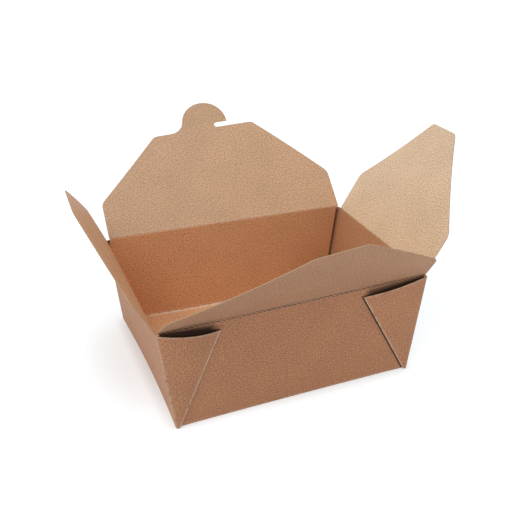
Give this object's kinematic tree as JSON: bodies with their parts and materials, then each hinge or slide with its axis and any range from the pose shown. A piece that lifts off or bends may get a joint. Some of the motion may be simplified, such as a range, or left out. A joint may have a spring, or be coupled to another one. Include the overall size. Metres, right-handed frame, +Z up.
{
  "type": "takeaway box",
  "caption": "Folding kraft card takeaway box, standing open: creased tray with double-folded glued corner webs, four hinged lid flaps and a hook tab.",
  "frame": {"origin": "middle of the base's underside, on the surface that the box stands on", "axes": "+X along the long side to the right, +Y to the back wall that carries the tabbed flap, +Z up"},
  "size_m": [0.233, 0.2128, 0.1343],
  "materials": {
    "kraft_card": "matte, uncoated kraft with fine fibres"
  },
  "bodies": {
    "tray": {"box_body": "kraft_card"},
    "left_flap": {"left_flap": "kraft_card"},
    "right_flap": {"right_flap": "kraft_card"},
    "front_flap": {"front_flap": "kraft_card"},
    "back_flap": {"back_flap": "kraft_card"}
  },
  "joints": [
    {"name": "left_crease", "type": "hinge", "parent": "tray", "child": "left_flap", "pos_m": [-0.08357, 0, 0.06402], "axis": [0, 1, 0], "range_deg": [-88, 117]},
    {"name": "right_crease", "type": "hinge", "parent": "tray", "child": "right_flap", "pos_m": [0.08357, 0, 0.06402], "axis": [0, -1, 0], "range_deg": [-87, 118]},
    {"name": "front_crease", "type": "hinge", "parent": "tray", "child": "front_flap", "pos_m": [0, -0.05363, 0.06477], "axis": [-1, 0, 0], "range_deg": [-78, 127]},
    {"name": "back_crease", "type": "hinge", "parent": "tray", "child": "back_flap", "pos_m": [0, 0.05359, 0.06552], "axis": [1, 0, 0], "range_deg": [-67, 138]}
  ]
}
